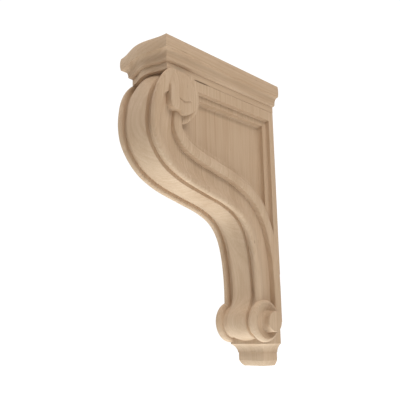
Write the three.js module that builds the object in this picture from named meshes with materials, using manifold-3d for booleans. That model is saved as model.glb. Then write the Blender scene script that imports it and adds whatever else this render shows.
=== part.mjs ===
// Carved wooden corbel bracket: an S-scroll body with panelled sides under a bowed cap board.
// Millimetres. X runs across the bracket, Y runs from the room into the wall, Z is up.
// The back of the bracket is the wall plane y = 0, and z = 0 is half way up its back.
import * as THREE from 'three';
import { mergeVertices } from 'three/addons/utils/BufferGeometryUtils.js';
import Module from 'manifold-3d';

const wasm = await Module();
wasm.setup();

// Overall sizes
const overallHeight = 457.2;
const bodyWidth = 76.2;
const bodyDepth = 240.5;
const jointGap = 0.3;
const edgeEase = 0.8;

// Cap board: one profile on three sides, with a front that bows out in the middle
const capHeight = 44.3;
const capOverhang = 12.6;
const capSwell = 1.5;
const capBow = 9.3;

// Scroll: the S-shaped ribbon that forms the front of the body
const scrollReach = 267.2;
const waistDepth = 53.4;
const scrollHeight = 315.7;
const ribbonFlare = 6.8;
const ribbonFootInset = 1.6;
const bandWidth = 37.0;
const bandCrown = 2.4;
const bandSetback = 2.3;
const beadDiameter = 9.2;
const grooveDepth = 6.2;
const sideCoveDepth = 6.2;
const sideBandWidth = 40.0;
const innerBeadWidth = 15.5;

// Panelled sides: a frame with two steps down to a flat field
const friezeHeight = 16.5;
const backStileWidth = 11.3;
const firstStepDepth = 7.0;
const secondLandWidth = 10.0;
const secondStepDepth = 8.5;

// Upper volute: a tall rounded cheek on each side, with a low collar behind it
const cheekWidth = 97.0;
const cheekDepth = 48.8;
const cheekHeight = 64.2;
const cheekCorner = 9.0;
const collarRadius = 40.8;
const collarStand = 0.7;
const eyeGrooveDepth = 1.3;

// Lower volute: a roll at the foot of the ribbon, dished at each end round a plain boss
const rollRadius = 31.8;
const rollWidth = 82.0;
const rollDrop = 29.8;
const rollSetback = 13.9;
const rollGrooveWidth = 9.0;
const rollGrooveDepth = 7.5;
const rollBandSetback = 2.6;
const rollBandCrown = 2.0;
const dishRadius = 27.2;
const dishDepth = 6.4;
const dishWallWidth = 6.5;
const bossDiameter = 31.0;
const bossWidth = 98.0;
const bossSetback = 8.0;

// Base: a plate, a cove, a plain band and a chamfered foot, all on three sides
const plateWidth = 67.2;
const plateDepth = 41.3;
const baseCoveHeight = 12.8;
const baseCoveInset = 8.6;
const baseCoveSink = 1.3;
const baseFillet = 1.4;
const baseBandHeight = 12.2;
const footHeight = 8.1;
const footInset = 5.4;

// Levels that follow from these sizes
const topZ = overallHeight / 2;
const footZ = -overallHeight / 2;
const bodyTopZ = topZ - capHeight;
const bandBottomZ = footZ + footHeight;
const bandTopZ = bandBottomZ + baseBandHeight;
const plateUnderZ = bandTopZ + baseCoveHeight;
const scrollFootZ = bodyTopZ - scrollHeight;
const rollZ = scrollFootZ - rollDrop;
const rollY = -(waistDepth - rollSetback);
const bodyHalf = bodyWidth / 2;
const landHalf = bodyHalf - firstStepDepth;
const fieldHalf = landHalf - secondStepDepth;

// A point in space
function vec(x, y, z) {
  return new THREE.Vector3(x, y, z);
}

// A point on a side outline, seen from the side
function flat(y, z) {
  return new THREE.Vector2(y, z);
}

// Turns any closed geometry into a solid with its faces outward
function solid(geometry) {
  const bare = geometry.clone();
  bare.deleteAttribute('normal');
  bare.deleteAttribute('uv');
  const merged = mergeVertices(bare, 1e-4);
  const vertProperties = new Float32Array(merged.attributes.position.array);
  const triVerts = new Uint32Array(merged.index.array);
  const corner = (i) => vec(...vertProperties.subarray(3 * i, 3 * i + 3));
  let volume = 0;
  for (let i = 0; i < triVerts.length; i += 3) {
    const [a, b, c] = [0, 1, 2].map((k) => corner(triVerts[i + k]));
    volume += a.dot(b.cross(c));
  }
  if (volume < 0) {
    for (let i = 0; i < triVerts.length; i += 3) {
      triVerts.subarray(i, i + 3).reverse();
    }
  }
  return new wasm.Manifold(new wasm.Mesh({ numProp: 3, vertProperties, triVerts }));
}

// Skins a row of rings that all have the same number of points, and closes both ends.
// The end outlines are the first and last ring laid flat, so that they can be filled with faces.
function loft(rings, firstOutline, lastOutline) {
  const count = rings[0].length;
  const faces = [];
  for (let i = 0; i + 1 < rings.length; i += 1) {
    for (let j = 0; j < count; j += 1) {
      const a = i * count + j;
      const b = i * count + ((j + 1) % count);
      faces.push(a, b, b + count);
      faces.push(a, b + count, a + count);
    }
  }
  const ends = [[firstOutline, 0, false], [lastOutline, (rings.length - 1) * count, true]];
  for (const [outline, start, along] of ends) {
    const turn = Math.sign(THREE.ShapeUtils.area(outline));
    for (const face of THREE.ShapeUtils.triangulateShape(outline, [])) {
      const faceTurn = Math.sign(THREE.ShapeUtils.area(face.map((k) => outline[k])));
      const ordered = (faceTurn === turn) === along ? face : [...face].reverse();
      faces.push(...ordered.map((k) => start + k));
    }
  }
  const positions = rings.flat().flatMap((p) => [p.x, p.y, p.z]);
  const geometry = new THREE.BufferGeometry();
  geometry.setAttribute('position', new THREE.Float32BufferAttribute(positions, 3));
  geometry.setIndex(faces);
  return solid(geometry);
}

// A side outline made solid between two positions across the bracket
function slab(shape, fromX, toX, arcSteps = 10) {
  const options = { depth: toX - fromX, bevelEnabled: false, curveSegments: arcSteps };
  const geometry = new THREE.ExtrudeGeometry(shape, options);
  geometry.applyMatrix4(new THREE.Matrix4().makeBasis(vec(0, 1, 0), vec(0, 0, 1), vec(1, 0, 0)));
  geometry.translate(fromX, 0, 0);
  return solid(geometry);
}

// The same outline right across the bracket
function fullSlab(shape, half) {
  return slab(shape, -half, half);
}

// A profile of [distance across, radius] turned about a line that runs across the bracket
function turned(profile, y, z, steps) {
  const points = profile.map(([across, radius]) => new THREE.Vector2(radius, across));
  const geometry = new THREE.LatheGeometry(points, steps);
  geometry.applyMatrix4(new THREE.Matrix4().makeBasis(vec(0, 1, 0), vec(1, 0, 0), vec(0, 0, -1)));
  geometry.translate(0, y, z);
  return solid(geometry);
}

// Adds the mirror image on the other side of the bracket
function bothSides(piece) {
  return piece.add(piece.mirror([1, 0, 0]));
}

// A box from its two opposite corners
function block(from, to) {
  const size = to.clone().sub(from);
  const middle = from.clone().add(to).multiplyScalar(0.5);
  const geometry = new THREE.BoxGeometry(size.x, size.y, size.z);
  geometry.translate(middle.x, middle.y, middle.z);
  return solid(geometry);
}

// Points of a profile that turns through part of a circle
function arc(cx, cy, rx, ry, fromDegrees, toDegrees, steps) {
  const points = [];
  for (let i = 0; i <= steps; i += 1) {
    const angle = THREE.MathUtils.degToRad(fromDegrees + ((toDegrees - fromDegrees) * i) / steps);
    points.push([cx + rx * Math.cos(angle), cy + ry * Math.sin(angle)]);
  }
  return points;
}

// Points of a shallow hollow between two profile points
function hollow([x0, y0], [x1, y1], sink, steps) {
  const length = Math.hypot(x1 - x0, y1 - y0);
  const points = [];
  for (let i = 0; i <= steps; i += 1) {
    const share = i / steps;
    const dip = (4 * share * (1 - share) * sink) / length;
    const x = x0 + (x1 - x0) * share - (y1 - y0) * dip;
    points.push([x, y0 + (y1 - y0) * share + (x1 - x0) * dip]);
  }
  return points;
}

// The line that the front beads of the ribbon follow down the S.
// Each pair is a share of the way out from the waist to the full reach, and a share of the drop.
const scrollLine = [
  [0.825, -0.030],
  [0.872, 0.000],
  [0.923, 0.037],
  [0.965, 0.091],
  [0.990, 0.157],
  [1.000, 0.233],
  [0.983, 0.309],
  [0.927, 0.378],
  [0.833, 0.442],
  [0.686, 0.492],
  [0.475, 0.531],
  [0.274, 0.566],
  [0.143, 0.610],
  [0.068, 0.675],
  [0.029, 0.753],
  [0.008, 0.845],
  [0.000, 0.927],
  [0.000, 1.000],
  [0.000, 1.100],
];
const ribbonSteps = 46;

function scrollPoint([out, drop]) {
  const y = -(waistDepth + (scrollReach - waistDepth) * out);
  return vec(0, y, bodyTopZ - scrollHeight * drop);
}
const scrollCurve = new THREE.CatmullRomCurve3(scrollLine.map(scrollPoint), false, 'centripetal');

// How far the ribbon has spread sideways by this share of its drop, toward the upper volute
function flareAt(drop) {
  return ribbonFlare * Math.exp(-((drop / 0.27) ** 2));
}

// Half the width of the ribbon: it flares at the top and narrows a little toward the foot
function ribbonHalf(drop) {
  return bodyHalf - ribbonFootInset * drop + flareAt(drop);
}

// How deep the side cove is: it opens as a pointed pocket beside the cheek of the upper volute
function coveDepth(drop) {
  const opening = THREE.MathUtils.smoothstep(drop, 0.105, 0.165);
  return sideCoveDepth * opening * (0.7 + 0.3 * THREE.MathUtils.smoothstep(drop, 0.2, 0.36));
}

// Half the cross-section of the ribbon as [distance from the middle, depth behind the front beads],
// from the crown of the middle band, over groove, bead, side cove and inner bead, to the back.
function ribbonSection(drop) {
  const half = ribbonHalf(drop);
  const spread = half / bodyHalf;
  const bandHalf = (bandWidth / 2) * spread;
  const bead = beadDiameter / 2;
  const coveStart = beadDiameter + edgeEase;
  const coveEnd = sideBandWidth;
  const innerEnd = sideBandWidth + innerBeadWidth;
  const rim = half - edgeEase * 1.5;
  const coveHalf = rim - coveDepth(drop);
  const inner = bodyHalf + flareAt(drop) * 0.4;
  return [
    [0, bandSetback - bandCrown],
    [bandHalf * 0.5, bandSetback - bandCrown * 0.75],
    [bandHalf, bandSetback],
    [bandHalf + edgeEase, grooveDepth],
    [half - beadDiameter - edgeEase * 0.4, grooveDepth],
    ...arc(half - bead, bead, bead, bead, 180, 360, 6),
    [rim, coveStart],
    [rim - (rim - coveHalf) * 0.55, coveStart + (coveEnd - coveStart) * 0.2],
    [rim - (rim - coveHalf) * 0.9, coveStart + (coveEnd - coveStart) * 0.5],
    [coveHalf, coveEnd - edgeEase * 0.75],
    [inner - edgeEase * 2, coveEnd],
    [inner + edgeEase * 0.5, coveEnd + innerBeadWidth * 0.15],
    [inner + edgeEase, coveEnd + innerBeadWidth * 0.5],
    [inner + edgeEase * 0.25, coveEnd + innerBeadWidth * 0.85],
    [inner - edgeEase * 1.5, innerEnd],
    [landHalf, innerEnd + edgeEase * 0.25],
    [landHalf, innerEnd + secondLandWidth],
    [fieldHalf * 0.87, innerEnd + secondLandWidth + edgeEase * 0.25],
  ];
}

// Mirrors a half section into a whole ring
function wholeSection(halfSection) {
  const mirrored = halfSection.filter(([x]) => x > 0).reverse();
  return [...halfSection, ...mirrored.map(([x, depth]) => [-x, depth])];
}

// A point at a depth behind the front line, on the side outline
function railPoint(share, depth) {
  const at = scrollCurve.getPointAt(share);
  const along = scrollCurve.getTangentAt(share);
  return flat(at.y - along.z * depth, at.z + along.y * depth);
}

function makeRibbon() {
  const rings = [];
  const outlines = [];
  for (let i = 0; i <= ribbonSteps; i += 1) {
    const share = i / ribbonSteps;
    const drop = Math.max(0, (bodyTopZ - scrollCurve.getPointAt(share).z) / scrollHeight);
    const section = wholeSection(ribbonSection(drop));
    rings.push(section.map(([x, depth]) => {
      const p = railPoint(share, depth);
      return vec(x, p.x, p.y);
    }));
    outlines.push(section.map(([x, depth]) => flat(x, depth)));
  }
  return loft(rings, outlines[0], outlines.at(-1));
}

// The height at which the inner bead, this far across its width, comes within a distance of the wall
function beadMeetsZ(distance, across) {
  const depth = sideBandWidth + innerBeadWidth * across;
  const steps = 200;
  let step = 0;
  while (step < steps && railPoint(step / steps, depth).x < -distance) {
    step += 1;
  }
  return railPoint(step / steps, depth).y;
}

// The flat field of the side panels, and all the wood between them
function makeField() {
  const shape = new THREE.Shape();
  shape.moveTo(0, bodyTopZ);
  shape.lineTo(0, plateUnderZ);
  shape.lineTo(-plateDepth / 2, plateUnderZ);
  const steps = 24;
  for (let i = steps; i >= 1; i -= 1) {
    const p = railPoint(0.04 + (0.9 * i) / steps, sideBandWidth * 0.7);
    shape.lineTo(p.x, p.y);
  }
  shape.lineTo(-bodyDepth * 0.9, bodyTopZ);
  shape.closePath();
  return fullSlab(shape, fieldHalf);
}

// One level of the panel frame: a frieze under the cap and a stile down the wall
function makeFrameLevel(drop, stile, half) {
  const edgeFoot = beadMeetsZ(stile, 0.3);
  const wallFoot = beadMeetsZ(0.5, 0.9);
  const front = -bodyDepth * 0.86;
  const shape = new THREE.Shape();
  shape.moveTo(0, bodyTopZ);
  shape.lineTo(front, bodyTopZ);
  shape.lineTo(front, bodyTopZ - drop);
  shape.lineTo(-stile, bodyTopZ - drop);
  shape.lineTo(-stile, edgeFoot);
  shape.lineTo(0, wallFoot);
  shape.closePath();
  return fullSlab(shape, half);
}

// The cheek of the upper volute, a tall form with a rounded back and foot
function makeCheek() {
  const centreY = -(bodyDepth - cheekDepth / 2);
  const widestZ = bodyTopZ - cheekHeight * 0.65;
  const footOfCheek = bodyTopZ - cheekHeight;
  const rise = bodyTopZ - widestZ;
  const fall = widestZ - footOfCheek;
  const shoulder = bodyTopZ - cheekHeight * 0.023;
  const toe = footOfCheek + cheekCorner * 0.14;
  const shape = new THREE.Shape();
  shape.moveTo(centreY - cheekDepth * 0.08, bodyTopZ);
  shape.quadraticCurveTo(-bodyDepth, shoulder, -bodyDepth, bodyTopZ - cheekHeight * 0.34);
  shape.lineTo(-bodyDepth, footOfCheek + cheekCorner);
  shape.quadraticCurveTo(-bodyDepth, toe, -bodyDepth + cheekCorner, toe);
  shape.lineTo(centreY, footOfCheek);
  shape.absellipse(centreY, widestZ, cheekDepth / 2, fall, -Math.PI / 2, 0, false);
  shape.absellipse(centreY, widestZ, cheekDepth / 2, rise, 0, Math.PI / 2, false);
  shape.closePath();
  return bothSides(slab(shape, fieldHalf, cheekWidth / 2, 8).subtract(makeEyeGroove()));
}

// The shallow groove that winds out of the eye of the volute and up round its face
function makeEyeGroove() {
  const centreY = -(bodyDepth - cheekDepth * 0.62);
  const centreZ = bodyTopZ - cheekHeight * 0.53;
  const steps = 18;
  const points = [];
  for (let i = 0; i <= steps; i += 1) {
    const share = i / steps;
    const angle = THREE.MathUtils.degToRad(-35 - 235 * share);
    const radius = cheekHeight * (0.15 + 0.27 * share ** 1.3);
    const sink = eyeGrooveDepth * (1 - 2.2 * Math.max(0, share - 0.6));
    const x = cheekWidth / 2 + eyeGrooveDepth - sink;
    points.push(vec(x, centreY + radius * Math.cos(angle), centreZ + radius * Math.sin(angle)));
  }
  const section = new THREE.Shape();
  const reach = eyeGrooveDepth;
  section.moveTo(reach, 0);
  section.lineTo(0, reach);
  section.lineTo(-reach, 0);
  section.lineTo(0, -reach);
  section.closePath();
  const path = new THREE.CatmullRomCurve3(points);
  const options = { steps: 30, bevelEnabled: false, extrudePath: path };
  return solid(new THREE.ExtrudeGeometry(section, options));
}

// The low collar that wraps the back of the cheek, where the inner bead ends
function makeCollar() {
  const centreY = -(bodyDepth - cheekDepth / 2);
  const centreZ = bodyTopZ - cheekHeight / 2;
  const startAngle = -Math.PI * 0.458;
  const endAngle = Math.asin((bodyTopZ - centreZ) / collarRadius);
  const shape = new THREE.Shape();
  shape.moveTo(centreY + collarRadius * Math.cos(startAngle), centreZ);
  shape.absarc(centreY, centreZ, collarRadius, startAngle, endAngle, false);
  shape.lineTo(centreY, bodyTopZ);
  shape.closePath();
  return fullSlab(shape, bodyHalf + collarStand);
}

// The roll at the foot: the ribbon's band, grooves and beads turned about the volute's centre
function makeRoll() {
  const half = rollWidth / 2;
  const band = bandWidth / 2;
  const bead = (half - band - rollGrooveWidth) / 2;
  const crown = rollRadius - rollBandSetback;
  const halfProfile = [
    ...arc(half - bead, rollRadius - bead, bead, bead, 0, 180, 8),
    [band + edgeEase, rollRadius - rollGrooveDepth],
    [band, crown - rollBandCrown],
    [band / 2, crown - rollBandCrown * 0.2],
  ];
  const left = halfProfile.map(([x, r]) => [-x, r]);
  const right = [...halfProfile].reverse();
  return turned([[-half, 0], ...left, [0, crown], ...right, [half, 0]], rollY, rollZ, 32);
}

// The hollow that is scooped out of the roll's end, up to a sharp rim inside the outer bead
function makeDish() {
  const half = rollWidth / 2;
  const wall = arc(half, dishRadius - dishWallWidth, dishDepth, dishWallWidth, 180, 90, 4);
  const open = half + dishDepth;
  const profile = [[half - dishDepth, 0], ...wall, [open, dishRadius], [open, 0]];
  return turned(profile, rollY, rollZ, 36);
}

// The boss that stands in the dish, nearer the wall than the roll's centre
function makeBoss() {
  const radius = bossDiameter / 2;
  const end = bossWidth / 2;
  const ease = edgeEase * 1.5;
  const profile = [[fieldHalf, 0], [fieldHalf, radius], [end - ease, radius], [end, radius - ease], [end, 0]];
  return turned(profile, rollY + bossSetback, rollZ, 32);
}

// One ring of the base: flat at the wall, the same inset on its other three sides
function baseRing(inset, z) {
  const half = plateWidth / 2 - inset;
  const front = -(plateDepth - inset);
  const back = plateDepth / 4;
  return [vec(half, back, z), vec(half, front, z), vec(-half, front, z), vec(-half, back, z)];
}

// The base below the scroll, from inside the roll down to the chamfered foot
function makeBase() {
  const coveFoot = bandTopZ + baseFillet;
  const coveBack = baseCoveInset - baseFillet * 0.7;
  const coveLip = [edgeEase, plateUnderZ - edgeEase / 2];
  const levels = [
    [0, rollZ],
    [0, plateUnderZ],
    ...hollow(coveLip, [coveBack, coveFoot], baseCoveSink, 6),
    [coveBack, bandTopZ],
    [baseCoveInset, bandTopZ],
    [baseCoveInset, bandBottomZ],
    [baseCoveInset + footInset * 0.45, bandBottomZ - footHeight * 0.55],
    [baseCoveInset + footInset, footZ],
  ];
  const rings = levels.map(([inset, z]) => baseRing(inset, z));
  const outline = (ring) => ring.map((p) => flat(p.x, p.y));
  return loft(rings, outline(rings[0]), outline(rings.at(-1)));
}

function makeBody() {
  const reach = scrollReach * 1.2;
  const room = block(vec(-reach, -reach, footZ * 1.2), vec(reach, 0, bodyTopZ - jointGap));
  return makeRibbon()
    .add(makeField())
    .add(makeFrameLevel(friezeHeight + secondLandWidth, backStileWidth + secondLandWidth, landHalf))
    .add(makeFrameLevel(friezeHeight, backStileWidth, bodyHalf))
    .add(makeCheek())
    .add(makeCollar())
    .add(makeRoll())
    .add(makeBase())
    .subtract(bothSides(makeDish()))
    .add(bothSides(makeBoss()))
    .intersect(room);
}

// The cap's profile as [overhang past the body, depth below the top], from the top edge down
function capProfile() {
  const edge = capOverhang;
  const coveLip = capOverhang - capSwell;
  const coveBack = capOverhang * 0.41;
  const coveTop = capHeight * 0.455;
  const coveFoot = capHeight * 0.675;
  const beadTop = coveFoot + edgeEase;
  const beadFoot = capHeight * 0.765;
  const neck = edgeEase / 2;
  return [
    [edge, 0],
    [edge + capSwell * 0.7, capHeight * 0.07],
    [edge + capSwell, capHeight * 0.22],
    [edge + capSwell * 0.9, capHeight * 0.36],
    [edge + capSwell * 0.3, capHeight * 0.44],
    ...arc(coveLip, coveFoot, coveLip - coveBack, coveFoot - coveTop, 265, 180, 5),
    ...arc(neck, beadTop, coveBack - neck, beadFoot - beadTop, 0, 82, 4),
    [neck, beadFoot],
    [neck, capHeight],
  ];
}

// A plan ring of the cap at one overhang: square at the wall, with a front that bows out
function capRing(overhang, z) {
  const half = bodyWidth / 2 + overhang;
  const front = bodyDepth + overhang;
  const steps = 18;
  const ring = [vec(half, 0, z)];
  for (let i = 0; i <= steps; i += 1) {
    const across = 1 - (2 * i) / steps;
    const bow = capBow * Math.cos((across * Math.PI) / 2) ** 2;
    ring.push(vec(half * across, -front - bow, z));
  }
  ring.push(vec(-half, 0, z));
  return ring;
}

function makeCap() {
  const rings = capProfile().map(([overhang, drop]) => capRing(overhang, topZ - drop));
  const outline = (ring) => ring.map((p) => flat(p.x, p.y));
  return loft(rings, outline(rings[0]), outline(rings.at(-1)));
}

// A named piece with its own wood finish
function piece(name, shape, colour, roughness) {
  const { vertProperties, triVerts } = shape.getMesh();
  const geometry = new THREE.BufferGeometry();
  geometry.setAttribute('position', new THREE.BufferAttribute(vertProperties, 3));
  geometry.setIndex(new THREE.BufferAttribute(triVerts, 1));
  geometry.computeVertexNormals();
  const material = new THREE.MeshStandardMaterial({ color: colour, roughness, metalness: 0 });
  const mesh = new THREE.Mesh(geometry, material);
  mesh.name = name;
  return mesh;
}

const corbel = new THREE.Group();
corbel.add(piece('carved_body', makeBody(), 0xc3a37d, 0.62));
corbel.add(piece('cap_board', makeCap(), 0xc8a985, 0.6));

export default corbel;
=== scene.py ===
# %% [markdown]
# # A carved wooden corbel
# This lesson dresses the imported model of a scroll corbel: a bracket of raw, sanded maple that is fixed to a
# wall by its back and carries a shelf on its moulded cap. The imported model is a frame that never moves. Its
# two solids, the carved body and the cap board, tell us where everything is, and we model the same forms
# again with fine, smooth surfaces and give them the look of bare wood.

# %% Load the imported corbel
import math

import bmesh
import bpy
import numpy as np
from mathutils import Matrix, Vector


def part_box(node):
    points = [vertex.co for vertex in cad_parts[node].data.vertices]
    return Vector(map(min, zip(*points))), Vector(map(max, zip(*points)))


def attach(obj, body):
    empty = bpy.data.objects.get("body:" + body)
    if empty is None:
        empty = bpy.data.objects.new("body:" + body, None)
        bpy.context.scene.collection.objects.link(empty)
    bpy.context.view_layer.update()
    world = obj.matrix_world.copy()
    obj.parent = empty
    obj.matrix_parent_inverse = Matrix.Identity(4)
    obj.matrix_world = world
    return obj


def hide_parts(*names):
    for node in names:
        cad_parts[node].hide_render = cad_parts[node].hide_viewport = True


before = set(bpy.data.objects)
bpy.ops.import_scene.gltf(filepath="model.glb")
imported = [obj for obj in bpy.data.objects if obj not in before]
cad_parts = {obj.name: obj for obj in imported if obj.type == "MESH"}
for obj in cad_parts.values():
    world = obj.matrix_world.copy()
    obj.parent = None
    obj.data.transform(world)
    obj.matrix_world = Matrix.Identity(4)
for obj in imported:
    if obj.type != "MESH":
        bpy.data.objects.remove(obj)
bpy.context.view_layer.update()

# %% [markdown]
# ## The camera
# The photograph is a product shot from the front right and a little below the middle. Lines on the cap, the
# panel and the base that are square on the real bracket give one pinhole camera that fits them all, so the
# camera is placed from that fit: where it stands, the way it turns, and how long its lens is. The small shift
# is there because the photograph was cropped a little off its middle.

# %% Place the camera
MM = 0.001
PHOTO_SIDE = 400
SENSOR = 36.0
focal_pixels = 564.84
principal_point = (186.40, 213.39)
camera_turn, camera_tilt, camera_roll = (math.radians(angle) for angle in (45.82, 12.47, -0.67))
camera_place = Vector((578.6, -731.0, -185.8)) * MM

ahead = Vector((-math.sin(camera_turn), math.cos(camera_turn), 0)) * math.cos(camera_tilt)
ahead.z = math.sin(camera_tilt)
level_right = Vector((math.cos(camera_turn), math.sin(camera_turn), 0))
level_up = level_right.cross(ahead)
right = level_right * math.cos(camera_roll) + level_up * math.sin(camera_roll)
up = level_up * math.cos(camera_roll) - level_right * math.sin(camera_roll)

camera_data = bpy.data.cameras.new("photo_camera")
camera_data.sensor_width = SENSOR
camera_data.lens = focal_pixels / PHOTO_SIDE * SENSOR
camera_data.shift_x = 0.5 - principal_point[0] / PHOTO_SIDE
camera_data.shift_y = principal_point[1] / PHOTO_SIDE - 0.5
camera_data.clip_start = 0.05
camera = bpy.data.objects.new("photo_camera", camera_data)
camera.matrix_world = Matrix.Translation(camera_place) @ Matrix((right, up, -ahead)).transposed().to_4x4()
bpy.context.scene.collection.objects.link(camera)
bpy.context.scene.camera = camera
print("lens", round(camera_data.lens, 2), "mm")

# %% [markdown]
# ## Sizes
# Lengths are in millimetres until a mesh is made. What the frame holds is read from it: the levels of the cap
# and the foot, and the reach of the bosses. The rest repeats the sizes that the solids were built from, so
# the fine surfaces lie on their solids.

# %% Levels from the frame
body_low, body_high = (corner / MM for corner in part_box("carved_body"))
cap_low, cap_high = (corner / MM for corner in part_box("cap_board"))
TOP, FOOT = cap_high.z, body_low.z
CAP_UNDER = cap_low.z
BODY_TOP = body_high.z
BOSS_END = body_high.x
WALL = 0.0
print("top", round(TOP, 1), "cap's underside", round(CAP_UNDER, 1), "foot", round(FOOT, 1))

# %% Sizes of the carving
body_width = 76.2
body_depth = 240.5
body_half = body_width / 2
edge_ease = 0.8
print("body", body_width, "wide and", body_depth, "deep at the cap's neck")

# %% [markdown]
# ## The S line
# A scroll corbel is drawn from the side. The carver lays a template on the blank and saws the S, and every
# bead and groove then runs along it. Our line is the one that the two front beads follow: a full belly, a
# turn inward, and a slim waist. Each point is a share of the way out from the waist and a share of the way
# down, and a centripetal spline goes through them, because it never loops or overshoots where points lie
# close.

# %% The template
scroll_reach = 267.2
waist_depth = 53.4
scroll_height = 315.7
scroll_line = [
    (0.825, -0.030), (0.872, 0.000), (0.923, 0.037), (0.965, 0.091), (0.990, 0.157), (1.000, 0.233),
    (0.983, 0.309), (0.927, 0.378), (0.833, 0.442), (0.686, 0.492), (0.475, 0.531), (0.274, 0.566),
    (0.143, 0.610), (0.068, 0.675), (0.029, 0.753), (0.008, 0.845), (0.000, 0.927), (0.000, 1.000),
    (0.000, 1.100),
]
print("places on the template:", len(scroll_line))

# %% A curve through points
spline_steps = 60


def span_point(p, k, t):
    """The point at t between the two middle points of four, by repeated blending."""
    a = [p[i] + (p[i + 1] - p[i]) * (t - k[i]) / (k[i + 1] - k[i]) for i in range(3)]
    b = [a[i] + (a[i + 1] - a[i]) * (t - k[i]) / (k[i + 2] - k[i]) for i in range(2)]
    return b[0] + (b[1] - b[0]) * (t - k[1]) / (k[2] - k[1])


def spline(points, steps):
    """A centripetal spline through the points, as equally spaced places."""
    points = np.asarray(points, float)
    points = np.vstack([2 * points[0] - points[1], points, 2 * points[-1] - points[-2]])
    gaps = np.sqrt(np.linalg.norm(np.diff(points, axis=0), axis=1))
    knots = np.concatenate([[0], np.cumsum(gaps)])
    fine = []
    for i in range(1, len(points) - 2):
        for t in np.linspace(knots[i], knots[i + 1], spline_steps, endpoint=False):
            fine.append(span_point(points[i - 1:i + 3], knots[i - 1:i + 3], t))
    fine = np.array(fine + [points[-2]])
    along = np.concatenate([[0], np.cumsum(np.linalg.norm(np.diff(fine, axis=0), axis=1))])
    even = np.linspace(0, along[-1], steps + 1)
    return np.stack([np.interp(even, along, fine[:, k]) for k in range(2)], axis=1)


print("steps between two places:", spline_steps)

# %% [markdown]
# The spline is then relaxed a little, as a carver fairs a line by eye, and the way it heads is kept for every
# place on it. That heading is what lets a groove stay square to the S.

# %% Draw and fair the S
ribbon_steps = 280
fairing_passes = 12
places = [(-(waist_depth + (scroll_reach - waist_depth) * out), CAP_UNDER - scroll_height * drop)
          for out, drop in scroll_line]
scroll = spline(places, ribbon_steps)
for _ in range(fairing_passes):
    scroll[1:-1] = (scroll[:-2] + 2 * scroll[1:-1] + scroll[2:]) / 4
heading = np.gradient(scroll, axis=0)
heading /= np.linalg.norm(heading, axis=1)[:, None]
print("the S is", round(float(np.linalg.norm(np.diff(scroll, axis=0), axis=1).sum())), "mm long")

# %% [markdown]
# ## The ribbon's cross-section
# Seen square to the S, the ribbon has a gently crowned band in the middle with a crisp edge, a groove on each
# side of it, and a round bead at each corner. Round the corner, the side is scooped into a shallow cove that
# ends against a second, broader bead. That one runs along the panel, and a narrow flat and a small cove lead
# from it down to the panel's field. The ribbon spreads toward the upper volute and narrows a little toward
# the foot. The band's crown is fullest under the cap and flattest on the belly. So the section is a function
# of how far down the S it is.

# %% Sizes of the ribbon
ribbon_flare = 6.8
ribbon_foot_inset = 1.6
band_width = 37.0
band_crown = 2.4
band_crown_high = 6.0
band_crown_low = 4.4
band_setback = 2.3
bead_diameter = 9.2
groove_depth = 8.0
side_cove_depth = 7.4
side_band_width = 40.0
inner_bead_width = 15.5
first_step = 7.0
second_step = 8.5
second_land_width = 10.0
panel_cove = 4.6
land_half = body_half - first_step
field_half = land_half - second_step
print("from the middle to the field, the land and the side:", field_half, land_half, body_half)

# %% How the section changes down the S
flare_fade = 0.27
shallow_cove = 0.85
bead_widening = 4.2
pocket_point = 6.0


def smoothstep(value, low, high):
    """0 below low, 1 above high, and an even S between."""
    share = min(1.0, max(0.0, (value - low) / (high - low)))
    return share * share * (3 - 2 * share)


def flare_at(drop):
    """How far the ribbon has spread by this share of its drop."""
    return ribbon_flare * math.exp(-((drop / flare_fade) ** 2))


def cove_depth(drop):
    """The side cove opens as a pointed pocket beside the cheek, and is full depth lower down."""
    opening = smoothstep(drop, 0.076, 0.096)
    return side_cove_depth * opening * (shallow_cove + (1 - shallow_cove) * smoothstep(drop, 0.2, 0.36))


def cove_start(drop):
    """How far behind the S the cove begins: the bead is broadest beside the pocket."""
    widening = bead_widening * (1 - smoothstep(drop, 0.15, 0.34))
    point = pocket_point * (1 - smoothstep(drop, 0.080, 0.122))
    return bead_diameter + edge_ease + widening + point


def crown_at(drop):
    """How far the band swells: fullest under the cap, flattest on the belly, and rounder at the waist."""
    high = (band_crown_high - band_crown) * (1 - smoothstep(drop, 0.0, 0.14))
    low = (band_crown_low - band_crown) * smoothstep(drop, 0.4, 0.7)
    return band_crown + high + low


print("crown under the cap and at the foot:", crown_at(0), crown_at(1))

# %% The front of half a section, from the middle of the band to the corner bead
def arc(cx, cy, rx, ry, start, end, steps):
    """Profile points that turn through part of an ellipse, in degrees."""
    angles = np.radians(np.linspace(start, end, steps + 1))
    return [(cx + rx * math.cos(a), cy + ry * math.sin(a)) for a in angles]


def front_profile(half, band_half, crown):
    """The crowned band, its groove and the corner bead, as (distance out, depth back)."""
    bead = bead_diameter / 2
    shares = np.linspace(0, 1, 11)
    sunk = band_setback + max(0.0, crown - band_crown) * 0.5
    swell = [(band_half * s, sunk - crown * (1 - s * s)) for s in shares[:-1]]
    arris = [(band_half - 0.25, sunk - 0.05), (band_half, sunk + 0.25)]
    start, end = band_half + edge_ease, half - bead_diameter - edge_ease * 0.4
    floor = [(start + (end - start) * s, groove_depth + 1.2 * s * (1 - s)) for s in np.linspace(0, 1, 8)]
    return swell + arris + floor + arc(half - bead, bead, bead, bead, 180, 360, 18)


print("points along the front:", len(front_profile(body_half, band_width / 2, band_crown)))

# %% The side of half a section, and the whole section
cove_crispness = 3.4
pocket_crispness = 9


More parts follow.
